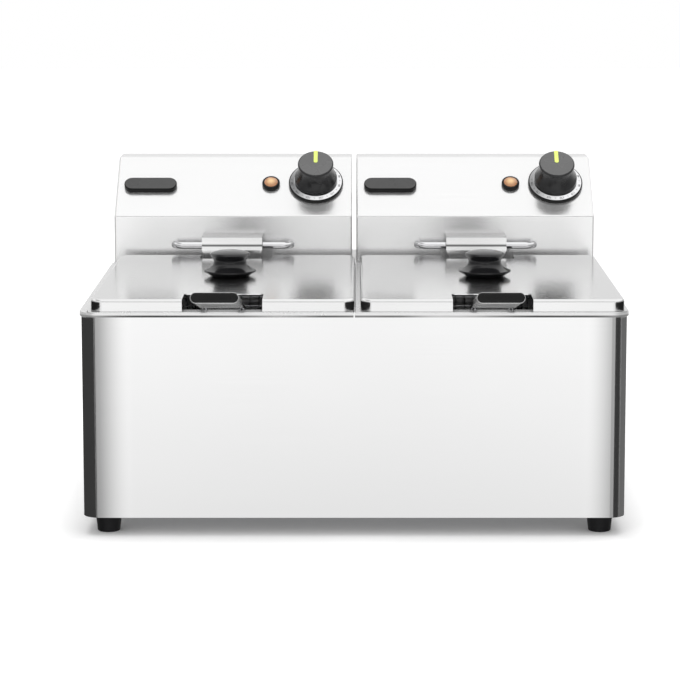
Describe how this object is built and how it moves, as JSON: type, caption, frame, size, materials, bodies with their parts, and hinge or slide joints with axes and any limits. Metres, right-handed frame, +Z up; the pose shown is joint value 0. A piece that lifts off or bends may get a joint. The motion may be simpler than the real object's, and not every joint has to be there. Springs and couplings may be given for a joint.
{
  "type": "deep fryer",
  "caption": "Counter-top twin-tank electric deep fryer in stainless sheet, with lift-out tanks, lids, wire baskets and sloped control heads with dial knobs.",
  "frame": {"origin": "on the table, under the middle of the box around the whole fryer, from the ends of the basket grips to the cable glands", "axes": "+X to the right of someone facing the controls, +Y from the front to the back, +Z up"},
  "size_m": [0.4388, 0.5005, 0.2814],
  "materials": {
    "satin_steel": "satin stainless sheet",
    "polished_steel": "bright polished stainless sheet",
    "plain_steel": "mill-finish sheet",
    "wire_steel": "bright plated wire",
    "element_steel": "heat-tinted tube",
    "screw_steel": "plated",
    "bulb_metal": "drawn tube",
    "dial_metal": "spun bright ring",
    "black_plastic": "moulded black",
    "switch_plastic": "moulded brown phenolic",
    "block_ceramic": "unglazed white block",
    "button_plastic": "moulded red",
    "pointer_plastic": "moulded yellow-green",
    "amber_lens": "clear amber",
    "foot_rubber": "moulded black"
  },
  "bodies": {
    "casing": {"casing_shell": "satin_steel", "base_plate": "plain_steel", "rear_deck": "satin_steel", "rubber_feet": "foot_rubber", "foot_screws": "screw_steel"},
    "left_tank_unit": {"left_tank": "satin_steel"},
    "left_head_unit": {"left_head_housing": "satin_steel", "left_head_back_cover": "plain_steel", "left_head_screws": "screw_steel", "left_basket_rail": "wire_steel", "left_element_guard": "polished_steel", "left_heating_element": "element_steel", "left_thermostat_bulb": "bulb_metal", "left_thermostat": "switch_plastic", "left_dial_bezel": "black_plastic", "left_dial_scale": "dial_metal", "left_pilot_bezel": "black_plastic", "left_pilot_lens": "amber_lens", "left_badge_plate": "black_plastic", "left_safety_cutout": "switch_plastic", "left_terminal_block": "block_ceramic", "left_cable_gland": "black_plastic"},
    "left_basket_unit": {"left_basket_mesh": "wire_steel", "left_basket_frame": "wire_steel", "left_basket_grip": "black_plastic"},
    "left_lid_unit": {"left_lid_cover": "polished_steel", "left_lid_knob": "black_plastic", "left_lid_knob_screw": "screw_steel"},
    "left_knob_unit": {"left_thermostat_spindle": "screw_steel", "left_control_knob": "black_plastic", "left_knob_pointer": "pointer_plastic"},
    "left_button_unit": {"left_reset_button": "button_plastic"},
    "right_tank_unit": {"right_tank": "satin_steel"},
    "right_head_unit": {"right_head_housing": "satin_steel", "right_head_back_cover": "plain_steel", "right_head_screws": "screw_steel", "right_basket_rail": "wire_steel", "right_element_guard": "polished_steel", "right_heating_element": "element_steel", "right_thermostat_bulb": "bulb_metal", "right_thermostat": "switch_plastic", "right_dial_bezel": "black_plastic", "right_dial_scale": "dial_metal", "right_pilot_bezel": "black_plastic", "right_pilot_lens": "amber_lens", "right_badge_plate": "black_plastic", "right_safety_cutout": "switch_plastic", "right_terminal_block": "block_ceramic", "right_cable_gland": "black_plastic"},
    "right_basket_unit": {"right_basket_mesh": "wire_steel", "right_basket_frame": "wire_steel", "right_basket_grip": "black_plastic"},
    "right_lid_unit": {"right_lid_cover": "polished_steel", "right_lid_knob": "black_plastic", "right_lid_knob_screw": "screw_steel"},
    "right_knob_unit": {"right_thermostat_spindle": "screw_steel", "right_control_knob": "black_plastic", "right_knob_pointer": "pointer_plastic"},
    "right_button_unit": {"right_reset_button": "button_plastic"}
  },
  "joints": [
    {"name": "left_tank_lift", "type": "slide", "parent": "casing", "child": "left_tank_unit", "axis": [0, 0, 1], "range_m": [0, 0.17]},
    {"name": "left_head_lift", "type": "slide", "parent": "left_tank_unit", "child": "left_head_unit", "axis": [0, 0, 1], "range_m": [0, 0.15]},
    {"name": "left_basket_lift", "type": "slide", "parent": "left_head_unit", "child": "left_basket_unit", "axis": [0, 0, 1], "range_m": [0, 0.125]},
    {"name": "left_lid_lift", "type": "slide", "parent": "left_basket_unit", "child": "left_lid_unit", "axis": [0, 0, 1], "range_m": [0, 0.1]},
    {"name": "left_knob_turn", "type": "hinge", "parent": "left_head_unit", "child": "left_knob_unit", "pos_m": [-0.035, 0.17905, 0.25039], "axis": [0, 0.6376, -0.7704], "range_deg": [0, 280]},
    {"name": "left_reset_press", "type": "slide", "parent": "left_head_unit", "child": "left_button_unit", "axis": [0, -1, 0], "range_m": [0, 0.003], "stiffness_N_per_m": 600},
    {"name": "right_tank_lift", "type": "slide", "parent": "casing", "child": "right_tank_unit", "axis": [0, 0, 1], "range_m": [0, 0.17]},
    {"name": "right_head_lift", "type": "slide", "parent": "right_tank_unit", "child": "right_head_unit", "axis": [0, 0, 1], "range_m": [0, 0.15]},
    {"name": "right_basket_lift", "type": "slide", "parent": "right_head_unit", "child": "right_basket_unit", "axis": [0, 0, 1], "range_m": [0, 0.125]},
    {"name": "right_lid_lift", "type": "slide", "parent": "right_basket_unit", "child": "right_lid_unit", "axis": [0, 0, 1], "range_m": [0, 0.1]},
    {"name": "right_knob_turn", "type": "hinge", "parent": "right_head_unit", "child": "right_knob_unit", "pos_m": [0.184, 0.17905, 0.25039], "axis": [0, 0.6376, -0.7704], "range_deg": [0, 280]},
    {"name": "right_reset_press", "type": "slide", "parent": "right_head_unit", "child": "right_button_unit", "axis": [0, -1, 0], "range_m": [0, 0.003], "stiffness_N_per_m": 600}
  ]
}
